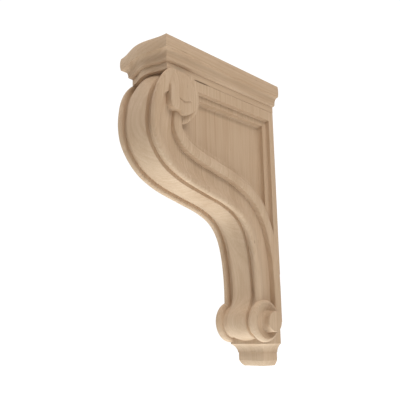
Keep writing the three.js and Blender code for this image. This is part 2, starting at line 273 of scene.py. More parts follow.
def side_profile(half, drop):
    """The side cove, the inner bead, and the steps down to the panel's field."""
    rim = half - edge_ease * 1.5
    sink = cove_depth(drop)
    start, end = cove_start(drop), side_band_width
    crispness = cove_crispness + pocket_crispness * (1 - smoothstep(drop, 0.11, 0.27))
    cove = [(rim - sink * (1 - (1 - s) ** crispness), start + (end - edge_ease - start) * s)
            for s in np.linspace(0, 1, 19) ** 1.5]
    inner = body_half + flare_at(drop) * 0.4 - edge_ease * 2
    swell = edge_ease * 3
    bead = [(inner + swell * math.sin(math.pi * s) ** 0.6, end + inner_bead_width * s)
            for s in np.linspace(0, 0.97, 15)]
    edge = end + inner_bead_width + second_land_width
    steps = [(land_half, end + inner_bead_width + edge_ease), (land_half, edge - 0.3),
             (land_half - 0.3, edge)]
    fall = [(land_half - second_step * math.sin(a), edge + panel_cove * (1 - math.cos(a)))
            for a in np.radians(np.linspace(8, 90, 9))]
    return cove + bead + steps + fall + [(field_half * 0.85, edge + panel_cove)]


def ribbon_section(drop):
    """The whole section, all round, as (distance out, depth back)."""
    half = body_half - ribbon_foot_inset * drop + flare_at(drop)
    band_half = band_width / 2 * half / body_half
    outline = front_profile(half, band_half, crown_at(drop)) + side_profile(half, drop)
    return outline + [(-x, depth) for x, depth in reversed(outline) if x > 0]


print("points round the ribbon:", len(ribbon_section(0.5)))

# %% [markdown]
# ## Lofts
# Every form on this bracket was cut by a tool that ran along a line or round a circle, so every form here is
# a loft: a row of closed outlines with skin between them and a face over each end. A turned form is a loft
# whose outlines are circles. Lofts are closed bodies, which matters, because they are joined with booleans.

# %% A closed body from outlines
def loft(name, rings):
    """A closed body from a row of outlines, in millimetres, that all have the same number of points."""
    rings = np.asarray(rings, float)
    rows, count = rings.shape[:2]
    faces = []
    for row in range(rows - 1):
        for k in range(count):
            after = (k + 1) % count
            faces.append((row * count + k, row * count + after,
                          (row + 1) * count + after, (row + 1) * count + k))
    faces.append(tuple(range(count))[::-1])
    faces.append(tuple((rows - 1) * count + k for k in range(count)))
    mesh = bpy.data.meshes.new(name)
    mesh.from_pydata((rings.reshape(-1, 3) * MM).tolist(), [], faces)
    body = bmesh.new()
    body.from_mesh(mesh)
    bmesh.ops.recalc_face_normals(body, faces=body.faces)
    body.to_mesh(mesh)
    body.free()
    piece = bpy.data.objects.new(name, mesh)
    bpy.context.scene.collection.objects.link(piece)
    return piece


def faces_of(piece):
    """How many faces a piece has."""
    return len(piece.data.polygons)


print("a loft can be made")

# %% [markdown]
# The ribbon itself is one loft. At every place on the S the section stands square to the line, so its beads
# and grooves follow the S as the carver's tool would.

# %% Carve the ribbon
def rail(station, depth):
    """A place at a depth behind the S line."""
    y, z = scroll[station]
    along_y, along_z = heading[station]
    return y - along_z * depth, z + along_y * depth


ribbon_rings = []
for station in range(ribbon_steps + 1):
    fallen = max(0.0, (CAP_UNDER - scroll[station][1]) / scroll_height)
    ribbon_rings.append([(x, *rail(station, depth)) for x, depth in ribbon_section(fallen)])
ribbon = loft("ribbon", ribbon_rings)
print("ribbon faces:", faces_of(ribbon))

# %% [markdown]
# ## The panelled sides
# Each side is a sunk panel: a frieze under the cap and a stile down the wall, then a second, lower frame,
# then the flat field. Each step down is a small cove, crisp at its upper edge and soft where it runs out, so
# a frame is lofted across the bracket with outlines that grow as they go down. The stiles stand on the inner
# bead, so each ends at the height where that bead comes as near to the wall as the stile is wide.

# %% Sizes of the panel and the base
frieze_height = 16.5
back_stile_width = 11.3
plate_depth = 41.3
roll_drop = 29.8
base_cove_height = 12.8
base_band_height = 12.2
foot_height = 8.1
band_bottom = FOOT + foot_height
band_top = band_bottom + base_band_height
plate_under = band_top + base_cove_height
spare = 5.0
print("the plate's underside is", round(plate_under - FOOT, 1), "above the foot")

# %% Where the inner bead runs into the stiles
def bead_meets(distance, across):
    """The height at which the inner bead, this far across its width, comes within a distance of the wall."""
    depth = side_band_width + inner_bead_width * across
    for station in range(ribbon_steps + 1):
        y, z = rail(station, depth)
        if y > -distance:
            break
    return z


wall_foot = bead_meets(0.5, 0.9)
print("the inner bead reaches the wall at", round(wall_foot, 1))

# %% Carve the frames
def frame_outline(stile, drop, foot):
    """A frieze under the cap and a stile down the wall, with some spare to plane off."""
    front = -body_depth * 0.86
    top = CAP_UNDER + spare
    return [(spare, top), (front, top), (front, CAP_UNDER - drop), (-stile, CAP_UNDER - drop),
            (-stile, foot), (WALL, wall_foot), (spare, wall_foot)]


def frame_level(name, half, step, cove, stile, drop):
    """One frame, whose edge falls in a cove of this step and width."""
    foot = bead_meets(stile + cove, 0.3)
    falls = [(half, -edge_ease * 0.4), (half - edge_ease * 0.4, 0)]
    falls += [(half - step * math.sin(a), cove * (1 - math.cos(a)))
              for a in np.radians(np.linspace(9, 90, 9))]
    falls.append((half - step - 2, cove))
    levels = [(-x, grow) for x, grow in falls] + falls[::-1]
    rings = [[(x, *p) for p in frame_outline(stile + grow, drop + grow, foot)] for x, grow in levels]
    return loft(name, rings)


upper_cove = 1.4
upper_frame = frame_level("upper_frame", body_half, first_step, upper_cove, back_stile_width, frieze_height)
lower_frame = frame_level("lower_frame", land_half, second_step, panel_cove,
                          back_stile_width + second_land_width, frieze_height + second_land_width)
print("frames:", faces_of(upper_frame), faces_of(lower_frame))

# %% [markdown]
# The field is one flat board between both sides. Its front edge is hidden inside the ribbon, so it follows
# the S at a depth that lies under the inner bead.

# %% Fill the field
field_line = [rail(round(ribbon_steps * (0.04 + 0.9 * s)), side_band_width * 0.7)
              for s in np.linspace(0.04, 1, 40)]
field_outline = [(spare, CAP_UNDER + spare), (spare, plate_under), (-plate_depth / 2, plate_under)]
field_outline += field_line[::-1] + [(-body_depth * 0.9, CAP_UNDER + spare)]
field = loft("field", [[(x, *p) for p in field_outline] for x in (-field_half, field_half)])
print("field:", faces_of(field))

# %% [markdown]
# ## The upper volute
# The front beads curl in under the cap round a tall cheek, whose rounded face stands out past the beads. A
# coil, the end of the inner bead's curl, shows behind it. The cheek is a height field in disguise: outlines
# that shrink toward the middle of the face, each point pushed out by a dome and pressed in where the carving
# passes.

# %% The outline of the cheek
cheek_half = 48.5
cheek_depth = 48.8
cheek_height = 64.2
cheek_corner = 18.0
cheek_toe = 4.2
cheek_middle = -(body_depth - cheek_depth / 2)
cheek_foot = CAP_UNDER - cheek_height
cheek_widest = CAP_UNDER - cheek_height * 0.65


def bend(start, control, end, steps):
    """Points of a quadratic curve, without its last."""
    shares = np.linspace(0, 1, steps, endpoint=False)[:, None]
    start, control, end = (np.array(p, float) for p in (start, control, end))
    return ((1 - shares) ** 2 * start + 2 * shares * (1 - shares) * control + shares ** 2 * end).tolist()


def cheek_outline():
    """The cheek seen from the side: square at its front, with a round heel, and an oval behind."""
    front = -body_depth
    toe = cheek_foot + cheek_toe
    crown = [cheek_middle - cheek_depth * 0.08, CAP_UNDER]
    shoulder = [front, CAP_UNDER - cheek_height * 0.34]
    heel = [front, cheek_foot + cheek_corner]
    ball = [front + cheek_corner, toe]
    points = bend(crown, [front, CAP_UNDER - cheek_height * 0.023], shoulder, 26)
    points += bend(shoulder, [front, (shoulder[1] + heel[1]) / 2], heel, 18)
    points += bend(heel, [front, toe], ball, 12)
    under = [(ball[0] + cheek_middle) / 2, toe - cheek_toe * 0.6]
    points += bend(ball, under, [cheek_middle, cheek_foot], 12)
    half = cheek_depth / 2
    points += arc(cheek_middle, cheek_widest, half, cheek_widest - cheek_foot, -90, 0, 36)[:-1]
    points += arc(cheek_middle, cheek_widest, half, CAP_UNDER - cheek_widest, 0, 90, 36)[:-1]
    return np.array(points)


print("points round the cheek:", len(cheek_outline()))

# %% [markdown]
# The eye is three gouge strokes: a soft valley down the face, a short slanting cut where the valley ends, and
# a ledge that turns away from the cut. Each is drawn as a line on the face, and how far a place is from the
# line says how much wood is taken there.

# %% The carving in the cheek's face
valley_sink, valley_width = 1.1, 2.6
tick_sink, tick_width = 1.5, 0.75
ledge_rise, ledge_slope, ledge_under_slope = 1.3, 5.0, 3.0
eye_valley = [(-2.5, -6.0), (-7.0, -12.0), (-8.8, -24.0), (-8.6, -36.0), (-8.0, -43.1)]
eye_tick = [(-8.0, -43.1), (-0.9, -47.4)]
eye_ledge = [(-0.9, -46.8), (14.0, -41.9)]


def from_line(y, z, line):
    """How far a place is from a line of (behind the cheek's middle, above the cap's underside) points."""
    nearest, side, along = 1e9, 1.0, 0.0
    place = np.array([y - cheek_middle, z - CAP_UNDER])
    for k in range(len(line) - 1):
        a, b = np.array(line[k]), np.array(line[k + 1])
        share = min(1.0, max(0.0, float((place - a) @ (b - a) / ((b - a) @ (b - a)))))
        gap = place - (a + (b - a) * share)
        if np.hypot(*gap) < nearest:
            nearest, along = float(np.hypot(*gap)), (k + share) / (len(line) - 1)
            side = 1.0 if (b - a)[0] * gap[1] - (b - a)[1] * gap[0] > 0 else -1.0
    return nearest, side, along


def eye_relief(y, z):
    """A soft valley down the face, a cut where it ends, and a small ledge that looks down beside the cut."""
    valley, _, along = from_line(y, z, eye_valley)
    sink = valley_sink * smoothstep(along, 0.0, 0.45) * math.exp(-((valley / valley_width) ** 2))
    tick, _, _ = from_line(y, z, eye_tick)
    sink += tick_sink * math.exp(-((tick / tick_width) ** 2))
    ledge, side, along = from_line(y, z, eye_ledge)
    strength = ledge_rise * (1 - smoothstep(along, 0.75, 1.0)) * smoothstep(along, 0.0, 0.06)
    rise = math.exp(-ledge / ledge_slope) if side > 0 else -0.5 * math.exp(-ledge / ledge_under_slope)
    return strength * rise - sink


tick_middle = np.mean(eye_tick, axis=0)
tick_relief = eye_relief(cheek_middle + tick_middle[0], CAP_UNDER + tick_middle[1])
print("the slanting cut is", round(-tick_relief, 1), "deep in its middle")

# %% Round the cheek
cheek_edge = 1.8
cheek_melt = 3.6
cheek_back_melt = 1.4
cheek_front_melt = 1.8
cheek_heel_melt = 1.5
melt_from, melt_to = CAP_UNDER - 33, CAP_UNDER - 5


def cheek_face(y, z, share):
    """The face is domed. Its edge melts into the bead in front of it, and again at its heel into the cove."""
    forward = smoothstep(-y, body_depth - 38, body_depth - 14)
    melt = cheek_back_melt + (cheek_melt - cheek_back_melt) * forward
    melt *= smoothstep(z, melt_from, melt_to) * share ** 2
    edge = smoothstep(-y, body_depth - 8, body_depth)
    melt += cheek_front_melt * edge * smoothstep(z, CAP_UNDER - 34, CAP_UNDER - 22)
    heel = smoothstep(-y, body_depth - 24, body_depth - 8) * smoothstep(-z, 42 - CAP_UNDER, 58 - CAP_UNDER)
    return cheek_half - 0.5 * share ** 2 - melt - cheek_heel_melt * heel * share ** 3


def cheek_rings():
    """Outlines from inside the body out to the cheek's edge, round it, and in to the middle of the face."""
    outline = cheek_outline()
    middle = np.array([cheek_middle + 3.0, CAP_UNDER - 42.0])
    rings = [[(field_half, y, z) for y, z in outline]]
    for a in np.radians(np.linspace(0, 80, 8)):
        inset = cheek_edge * (1 - math.cos(a)) / (cheek_depth / 2)
        ring = [middle + (p - middle) * (1 - inset) for p in outline]
        rings.append([(cheek_face(y, z, 1) - cheek_edge * (1 - math.sin(a)), y, z) for y, z in ring])
    for share in np.linspace(0.89, 0.02, 62):
        ring = [middle + (p - middle) * share for p in outline]
        rings.append([(cheek_face(y, z, share) + eye_relief(y, z), y, z) for y, z in ring])
    return rings


cheek = loft("cheek", cheek_rings())
print("cheek faces:", faces_of(cheek))

# %% [markdown]
# The coil behind the cheek is where the inner bead's curl ends. It starts low beside that bead, climbs as it
# goes round below the cheek and up its back, and runs out under the cap nearly as high as the cheek itself.

# %% The coil round the cheek
coil_depth = 31.5
coil_height = 43.8
coil_low = 39.3
coil_high = 46.4
coil_edge = 2.4
coil_middle_radius = 36.0
coil_start = -82.44
rise_from, rise_to = -82, -12


def coil_rings():
    """Outlines of the coil from its foot up to its face, whose edge is eased."""
    centre = np.array([cheek_middle, CAP_UNDER - cheek_height / 2])
    finish = math.degrees(math.asin((CAP_UNDER + 6 - centre[1]) / coil_height))
    angles = np.linspace(coil_start, finish, 72)
    path = [centre + (coil_depth * math.cos(a), coil_height * math.sin(a)) for a in np.radians(angles)]
    heights = [coil_low + (coil_high - coil_low) * smoothstep(a, rise_from, rise_to) for a in angles]
    melts = [cheek_back_melt * smoothstep(z, melt_from, melt_to) for _, z in path]
    faces = [height - melt for height, melt in zip(heights, melts)]
    ends = [np.array([path[-1][0] - 12, path[-1][1]]), np.array([path[0][0], centre[1]])]

    def ring(inset, lift):
        edge = [centre + (p - centre) * (1 - inset / coil_middle_radius) for p in path]
        if lift is None:
            return [(field_half, y, z) for y, z in edge + ends]
        return [(face - lift, y, z) for face, (y, z) in zip(faces + [faces[-1], faces[0]], edge + ends)]

    rounding = [(coil_edge * (1 - math.cos(a)), coil_edge * (1 - math.sin(a)))
                for a in np.radians(np.linspace(0, 84, 8))]
    return [ring(0, None)] + [ring(inset, lift) for inset, lift in rounding] + [ring(5.5, 0.0), ring(9, 0.9)]


coil = loft("coil", coil_rings())
print("coil faces:", faces_of(coil))

# %% [markdown]
# ## The lower volute
# At the foot, the ribbon rolls over a drum that lies across the bracket. Its band, grooves and beads go round
# with it, so the drum is turned from the same profile.

# %% A body turned about a line across the bracket
def turned(name, profile, y, z, steps):
    """A body turned about a line across the bracket, from (distance across, radius) points."""
    angles = np.linspace(0, 2 * math.pi, steps, endpoint=False)
    rings = [[(x, y + r * math.cos(a), z + r * math.sin(a)) for a in angles] for x, r in profile]
    return loft(name, rings)


print("a turned body can be made")

# %% Turn the roll
roll_radius = 31.8
roll_half = 41.0
roll_setback = 13.9
roll_groove_width = 9.0
roll_groove_depth = 9.5
roll_band_setback = 2.6
roll_band_crown = 3.2
roll_steps = 150
roll_y = -(waist_depth - roll_setback)
roll_z = CAP_UNDER - scroll_height - roll_drop
roll_bead = (roll_half - band_width / 2 - roll_groove_width) / 2


def roll_profile():
    """Half of the drum's profile, as (distance out, radius), from its end to its middle."""
    band = band_width / 2
    crown = roll_radius - roll_band_setback
    end = arc(roll_half - roll_bead, roll_radius - roll_bead, roll_bead, roll_bead, 0, 180, 24)
    inner = roll_half - 2 * roll_bead
    groove_floor = roll_radius - roll_groove_depth
    bead_foot = roll_radius - roll_bead
    hollow = [(inner + (band + edge_ease - inner) * s,
               bead_foot + (groove_floor - bead_foot) * math.sin(math.pi / 2 * s))
              for s in np.linspace(0.1, 1, 9)]
    edge = crown - roll_band_crown
    arris = [(band, edge - 0.25), (band - 0.25, edge + 0.05)]
    dome = [(band * s, crown - roll_band_crown * s * s) for s in np.linspace(0.95, 0, 11)]
    return [(roll_half, 3.0)] + end + hollow + arris + dome


half_roll = roll_profile()
whole_roll = half_roll + [(-x, r) for x, r in reversed(half_roll[:-1])]
roll = turned("roll", whole_roll, roll_y, roll_z, roll_steps)
print("roll faces:", faces_of(roll))

# %% [markdown]
# Where the ribbon meets the drum, its band runs out onto it in one soft sweep, while the beads end in a crisp
# corner. The sweep is a fillet that touches both: an arc outside the drum, whose radius fades toward the
# beads.

# %% Fill the throat above the roll
sweep_radius = 48.0
bead_sweep_radius = 2.0
tuck = 0.02


def throat_outline(front, drum, sweep):
    """The side outline of the fillet between the ribbon's front, at this depth, and a drum of this radius."""
    cy = -(front + sweep)
    cz = roll_z + math.sqrt((drum + sweep) ** 2 - (cy - roll_y) ** 2)
    toward_drum = math.atan2(roll_z - cz, roll_y - cy)
    curve = [(cy + sweep * math.cos(a), cz + sweep * math.sin(a)) for a in np.linspace(0, toward_drum, 15)]
    return [(-front + 6, cz)] + curve + [(roll_y, roll_z)]


def drum_radius(x):
    """The drum's radius at this distance from the middle."""
    known = sorted((px, r) for px, r in half_roll if px <= roll_half - roll_bead)
    return float(np.interp(x, [px for px, _ in known], [r for _, r in known]))


def ribbon_front(x):
    """How far the ribbon's front lies behind the S at this distance from the middle."""
    section = front_profile(body_half - ribbon_foot_inset, band_width / 2, band_crown_low)
    inner = [(px, depth) for px, depth in section if px <= body_half - ribbon_foot_inset - bead_diameter / 2]
    return float(np.interp(x, [px for px, _ in inner], [d for _, d in inner]))


throat_half = body_half - ribbon_foot_inset - bead_diameter / 2
throat_rings = []
for x in np.linspace(-throat_half, throat_half, 69):
    fade = smoothstep(abs(x), band_width / 2 + 1, throat_half - 2)
    sweep = sweep_radius + (bead_sweep_radius - sweep_radius) * fade
    outline = throat_outline(waist_depth - ribbon_front(abs(x)) - tuck, drum_radius(abs(x)) - tuck, sweep)
    throat_rings.append([(x, y, z) for y, z in outline])
throat = loft("throat", throat_rings)
print("throat faces:", faces_of(throat))

# %% [markdown]
# Each end of the drum is scooped out like a dish, with a sharp rim, and a plain boss stands in the dish and
# reaches out as far as anything on the bracket. The boss sits nearer the wall than the middle of the dish, so
# the dish shows as a crescent. It is about a millimetre further back here than in the solid, as the
# photograph asked, and its edge is only just eased.

# %% Scoop the dish and turn the boss
dish_radius = 27.2
dish_depth = 6.4
dish_curve = 3.2
boss_radius = 15.5
boss_setback = 9.2
boss_drop = 1.4
boss_ease = 1.0
boss_dome = 0.3
boss_foot = 7.0
boss_flare = 5.0
boss_steps = 110


def dish_profile():
    """The tool that scoops the dish, as (distance out, radius)."""
    bowl = [(roll_half - dish_depth * (1 - s ** dish_curve), dish_radius * s)
            for s in np.linspace(0.1, 1, 19)]
    return bowl + [(roll_half + dish_depth, dish_radius), (roll_half + dish_depth, dish_radius * 0.1)]


def boss_profile():
    """A boss that flares at its foot and has a slightly domed end with a softly eased edge."""
    rim = BOSS_END - boss_dome
    end = [(rim - boss_ease + boss_ease * math.sin(a), boss_radius - boss_ease + boss_ease * math.cos(a))
           for a in np.radians(np.linspace(0, 84, 8))]
    end += [(BOSS_END - boss_dome * s * s, (boss_radius - boss_ease) * s) for s in np.linspace(0.95, 0.05, 7)]
    floor = roll_half - dish_depth
    flare = [(floor + boss_foot * (1 - math.cos(a)), boss_radius + boss_flare * (1 - math.sin(a)))
             for a in np.radians(np.linspace(0, 90, 10))]
    return [(field_half, boss_radius + boss_flare)] + flare + end


dish = turned("dish", dish_profile(), roll_y, roll_z, roll_steps)
boss = turned("boss", boss_profile(), roll_y + boss_setback, roll_z - boss_drop, boss_steps)
print("dish and boss faces:", faces_of(dish), faces_of(boss))

# %% [markdown]
# ## The base
# Below the volute the bracket ends in a small moulded base that returns round three sides: a thin plate, a
# shallow cove, a plain band and a chamfered foot. It is lofted downward, one outline per level.

# %% Shape the base
plate_width = 67.2
base_cove_inset = 8.6
base_cove_sink = 1.3
base_fillet = 1.4
foot_inset = 5.4
base_arris = 0.2


def base_levels():
    """(inset from the plate's edge, height) down the base."""
    cove_foot = (base_cove_inset - base_fillet * 0.7, band_top + base_fillet)
    lip = (edge_ease, plate_under - edge_ease / 2)
    run, fall = cove_foot[0] - lip[0], cove_foot[1] - lip[1]
    length = math.hypot(run, fall)
    levels = [(0, roll_z), (0, plate_under + base_arris), (base_arris, plate_under)]
    for s in np.linspace(0, 1, 17):
        dip = 4 * s * (1 - s) * base_cove_sink / length
        levels.append((lip[0] + run * s - fall * dip, lip[1] + fall * s + run * dip))
    levels += [(cove_foot[0], band_top), (base_cove_inset - base_arris, band_top),
               (base_cove_inset, band_top - base_arris), (base_cove_inset, band_bottom + base_arris),
               (base_cove_inset + base_arris, band_bottom - base_arris)]
    levels += [(base_cove_inset + foot_inset * 0.45, band_bottom - foot_height * 0.55),
               (base_cove_inset + foot_inset - base_arris, FOOT + 0.3), (base_cove_inset + foot_inset, FOOT)]
    return levels


def base_outline(inset, z):
    """One level of the base: three sides with eased corners, running on into the wall."""
    half, front, ease = plate_width / 2 - inset, -(plate_depth - inset), 0.4
    behind = 2 * spare
    return [(half, behind, z), (half, front + ease, z), (half - ease, front, z),
            (-half + ease, front, z), (-half, front + ease, z), (-half, behind, z)]


base = loft("base", [base_outline(*level) for level in base_levels()])
print("base faces:", faces_of(base))

# %% [markdown]
# ## One carving
# Everything under the cap is one piece of wood, so the bodies are joined into one mesh. The back is then
# planed flat on the wall and the top cut level, by keeping only what lies inside a large box. The boolean
# solver for closed bodies keeps the join exact, so no face is left hidden inside the wood. Faces that meet at
# more than about thirty degrees stay crisp, and the rest is shaded smooth.

# %% Join, cut and mirror
def applied(piece):
    """Makes the modifiers of a piece a part of its mesh."""
    shown = piece.evaluated_get(bpy.context.evaluated_depsgraph_get())
    made = bpy.data.meshes.new_from_object(shown)
    piece.modifiers.clear()
    piece.data = made
    return piece


def combine(piece, others, operation="UNION"):
    """Joins other bodies to a piece, or cuts it with them."""
    for other in others:
        step = piece.modifiers.new("join", "BOOLEAN")
        step.solver = "MANIFOLD"
        step.operation = operation
        step.object = other
        applied(piece)
        bpy.data.objects.remove(other)
    return piece


def both_sides(piece):
    """The piece and its mirror image on the far side."""
    mesh = piece.data.copy()
    mesh.transform(Matrix.Scale(-1, 4, (1, 0, 0)))
    mesh.flip_normals()
    twin = bpy.data.objects.new(piece.name + "_far", mesh)
    bpy.context.scene.collection.objects.link(twin)
    return [piece, twin]


print("bodies can be joined, cut and mirrored")

# %% Join the carved body
crisp_from = 30


def room_box():
    """The room the carving may fill: in front of the wall and under the cap."""
    reach = scroll_reach * 1.2
    corners = [(-reach, -reach), (reach, -reach), (reach, WALL), (-reach, WALL)]
    return loft("room", [[(x, y, z) for x, y in corners] for z in (FOOT - 4 * spare, BODY_TOP)])


def finish_surface(piece):
    """Smooth shading with crisp edges."""
    mesh = piece.data
    mesh.shade_smooth()
    mesh.set_sharp_from_angle(angle=math.radians(crisp_from))
    print(piece.name, "faces:", len(mesh.polygons))


carved_body = combine(ribbon, [field, lower_frame, upper_frame, *both_sides(coil), *both_sides(cheek), roll,
                               throat, base])
combine(carved_body, both_sides(dish), "DIFFERENCE")
combine(carved_body, both_sides(boss))
combine(carved_body, [room_box()], "INTERSECT")
carved_body.name = carved_body.data.name = "scroll_carving"
finish_surface(carved_body)

# %% [markdown]
# ## The cap board
# The cap is a board of its own, glued on top. One moulding runs round its front and two sides: a broad,
# slightly swelling face, a cove, a small bead and a plain neck. Its back is flat on the wall and its front
# bows out in the middle, so each outline is a rectangle whose front edge is a shallow wave.

# %% Shape the cap
cap_height = TOP - CAP_UNDER
cap_overhang = 12.6
cap_swell = 1.5
cap_bow = 9.3


def cap_profile():
    """(overhang past the body, depth below the top) from the top edge down."""
    edge, lip, cove_back = cap_overhang, cap_overhang - cap_swell, cap_overhang * 0.41
    cove_top, cove_foot = cap_height * 0.455, cap_height * 0.675
    bead_top, bead_foot, neck = cove_foot + edge_ease, cap_height * 0.765, edge_ease / 2
    swell = [(edge + cap_swell * math.sin(math.pi * (0.08 + 0.84 * s)) ** 0.8, cap_height * (0.02 + 0.42 * s))
             for s in np.linspace(0, 1, 16)]
    cove = arc(lip, cove_foot, lip - cove_back, cove_foot - cove_top, 265, 180, 14)
    bead = arc(neck, bead_top, cove_back - neck, bead_foot - bead_top, 0, 82, 10)
    return [(edge - 0.5, 0), (edge, 0.4)] + swell + cove + bead + [(neck, bead_foot), (neck, cap_height)]


def cap_outline(overhang, z):
    """One level of the cap: two straight sides and a front that bows out in a shallow wave."""
    half, front, ease = body_half + overhang, body_depth + overhang, 0.35
    shares = np.linspace(1, -1, 61)
    shares[0], shares[-1] = 1 - ease / half, ease / half - 1
    bow = [(half * s, -front - cap_bow * math.cos(s * math.pi / 2) ** 2, z) for s in shares]
    return [(half, WALL, z), (half, -front + ease, z)] + bow + [(-half, -front + ease, z), (-half, WALL, z)]


cap_board = loft("moulded_cap", [cap_outline(overhang, TOP - drop) for overhang, drop in cap_profile()])
finish_surface(cap_board)

# %% [markdown]
# ## Who stands for whom
# Each fine piece takes the place of its solid and rides on the same body.

# %% Put the pieces on the frame
for piece, node, slot in [(carved_body, "carved_body", "body_wood"), (cap_board, "cap_board", "cap_wood")]:
    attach(piece, "root")
    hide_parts(node)
    print(piece.name, "stands for", node)

# %% [markdown]
# ## Bare maple
# Raw maple is pale and even. What shows are fine growth lines that run up the bracket, thin layers of
# slightly darker late wood. They are a solid pattern: the same layers show as upright lines on the panel, and
# as fine cross lines where the belly turns under and cuts through them. So the colour is worked out from the
# place in the wood and not from the surface. The class below lets us write it as sums.

# %% A wire that can be reckoned with
class Wire:
    """A value in a material's tree. Arithmetic on it adds Math nodes."""

    def __init__(self, finish, socket):
        self.finish, self.socket = finish, socket

    def __add__(self, other):
        return self.finish.sum("ADD", self, other)

    def __radd__(self, other):
        return self.finish.sum("ADD", other, self)

    def __sub__(self, other):
        return self.finish.sum("SUBTRACT", self, other)

    def __rsub__(self, other):
        return self.finish.sum("SUBTRACT", other, self)

    def __mul__(self, other):
        return self.finish.sum("MULTIPLY", self, other)

    def __rmul__(self, other):
        return self.finish.sum("MULTIPLY", other, self)

    def __truediv__(self, other):
        return self.finish.sum("DIVIDE", self, other)

    def __rtruediv__(self, other):
        return self.finish.sum("DIVIDE", other, self)


print("a wire adds Math nodes")

# %% A finish, and one method for every kind of node
class Finish:
    """A material and its tree."""

    def __init__(self, name):
        self.material = bpy.data.materials.new(name)
        self.material.use_nodes = True
        self.tree = self.material.node_tree
        self.shader = self.tree.nodes["Principled BSDF"]

    def put(self, socket, value):
        """Links a wire to a socket, or sets a plain value on it."""
        if isinstance(value, Wire):
            self.tree.links.new(value.socket, socket)
        else:
            socket.default_value = value

    def node(self, kind, settings=None, inputs=None, output=0):
        """Any node, from its type, its settings and what its sockets get."""
        made = self.tree.nodes.new(kind)
        for key, value in (settings or {}).items():
            setattr(made, key, value)
        for key, value in (inputs or {}).items():
            self.put(made.inputs[key], value)
        return Wire(self, made.outputs[output])

    def sum(self, operation, a, b):
        """A Math node."""
        return self.node("ShaderNodeMath", {"operation": operation}, {0: a, 1: b})

    def mix(self, share, low, high):
        """A colour between two colours."""
        return self.node("ShaderNodeMix", {"data_type": "RGBA"}, {0: share, 6: low, 7: high}, 2)

    def stretch(self, place, factors):
        """A place whose three lengths are each multiplied."""
        return self.node("ShaderNodeVectorMath", {"operation": "MULTIPLY"}, {0: place, 1: factors})


print("a finish adds any node")

# %% [markdown]
# The tree grew up along the board, so every pattern is stretched along the grain: up the body, and from wall
# to front on the cap. The body is glued up from staves side by side, each with its own shade and its own
# growth lines, which is how such thick stock is made.

# %% Colours of the wood, its marks and a painted shade
def srgb(red, green, blue):
    """A colour given as the eye sees it, as the shader wants it."""
    return (*((c / 12.92 if c <= 0.04045 else ((c + 0.055) / 1.055) ** 2.4) for c in (red, green, blue)), 1.0)


LIGHT_WOOD = srgb(0.83, 0.733, 0.625)
DARK_WOOD = srgb(0.70, 0.583, 0.465)
LATE_WOOD = srgb(0.62, 0.49, 0.36)
FLECK = srgb(0.42, 0.30, 0.20)
# A grey painted shade, laid on the cap's mouldings where the cheek shades them.
GREY_PAINTED_SHADE = srgb(0.58, 0.56, 0.49)
OPEN_JOINT = srgb(0.36, 0.27, 0.19)
print("light wood gives back", [round(c, 2) for c in LIGHT_WOOD[:3]], "of the light")

# %% Patterns along the grain
UP, OUTWARD = 2, 1
PLACE_ON_OBJECT = 3
growth_line = 0.0042
layers_a_metre = 230.0
stave_seed, stave_tilt, stave_shift = 7.3, 0.15, 0.05
drift_bend, ripple_bend = 0.020, 0.0022
late_from, late_full = 0.45, 0.97


def stretched_noise(wood, place, along, fine, coarse, detail, roughness=0.5):
    """A cloudy pattern that repeats often across the grain and seldom along it, in times a metre."""
    scales = [fine, fine, fine]
    scales[along] = coarse
    return wood.node("ShaderNodeTexNoise", {}, {"Vector": wood.stretch(place, scales), "Scale": 1.0,
                                                "Detail": detail, "Roughness": roughness})


def growth_layers(wood, place, along, stave_width, tilt):
    """The growth layers, the late wood and the stave's own chance, at a place in the wood."""
    split = wood.node("ShaderNodeSeparateXYZ", {}, {0: place})
    x, y, z = (Wire(wood, split.socket.node.outputs[k]) for k in range(3))
    layer = y if along == UP else z
    stave = wood.node("ShaderNodeMath", {"operation": "FLOOR"}, {0: x / stave_width})
    chance = wood.node("ShaderNodeTexWhiteNoise", {"noise_dimensions": "1D"}, {"W": stave + stave_seed})
    drift = stretched_noise(wood, place, along, fine=11.0, coarse=2.2, detail=2.0)
    ripple = stretched_noise(wood, place, along, fine=60.0, coarse=9.0, detail=2.0)
    growth = layer - x * (tilt + chance * stave_tilt) + chance * stave_shift
    growth = growth + drift * drift_bend + ripple * ripple_bend
    layers = wood.node("ShaderNodeTexNoise", {"noise_dimensions": "1D"},
                       {"W": growth * layers_a_metre, "Scale": 1.0, "Detail": 2.5, "Roughness": 0.7})
    phase = wood.node("ShaderNodeMath", {"operation": "FRACT"}, {0: growth / growth_line})
    late = wood.node("ShaderNodeMapRange", {"interpolation_type": "SMOOTHSTEP"},
                     {0: phase, 1: late_from, 2: late_full, 3: 0.0, 4: 1.0})
    return layers, late, chance


print("growth lines stand", growth_line / MM, "mm apart")

# %% [markdown]
# Near the cheek there are a few marks and one painted shade: a grey painted shade on the cap's lower
# mouldings, where they lie in shade above the cheek, two dark flecks above it, and a glue joint under the cap
# that has opened a little. Each is a soft spot of colour round a place in the wood, longer than it is high,
# and the wood's own clouds make its edge uneven.

# %% Marks in the wood and a painted shade
# The first entry is painted shade: the grey on the cap's mouldings above the cheek, where they lie in shade.
marks_and_shade = [((45.0, -219.0, 190.5), (8.0, 26.0, 6.5), GREY_PAINTED_SHADE, 0.55),
         ((51.0, -208.0, 207.0), (6.0, 15.0, 1.1), FLECK, 0.45),
         ((51.0, -219.0, 211.5), (6.0, 9.0, 0.9), FLECK, 0.35),
         ((38.5, -172.0, 184.2), (4.0, 20.0, 1.5), OPEN_JOINT, 0.75)]
mark_unevenness = 1.2


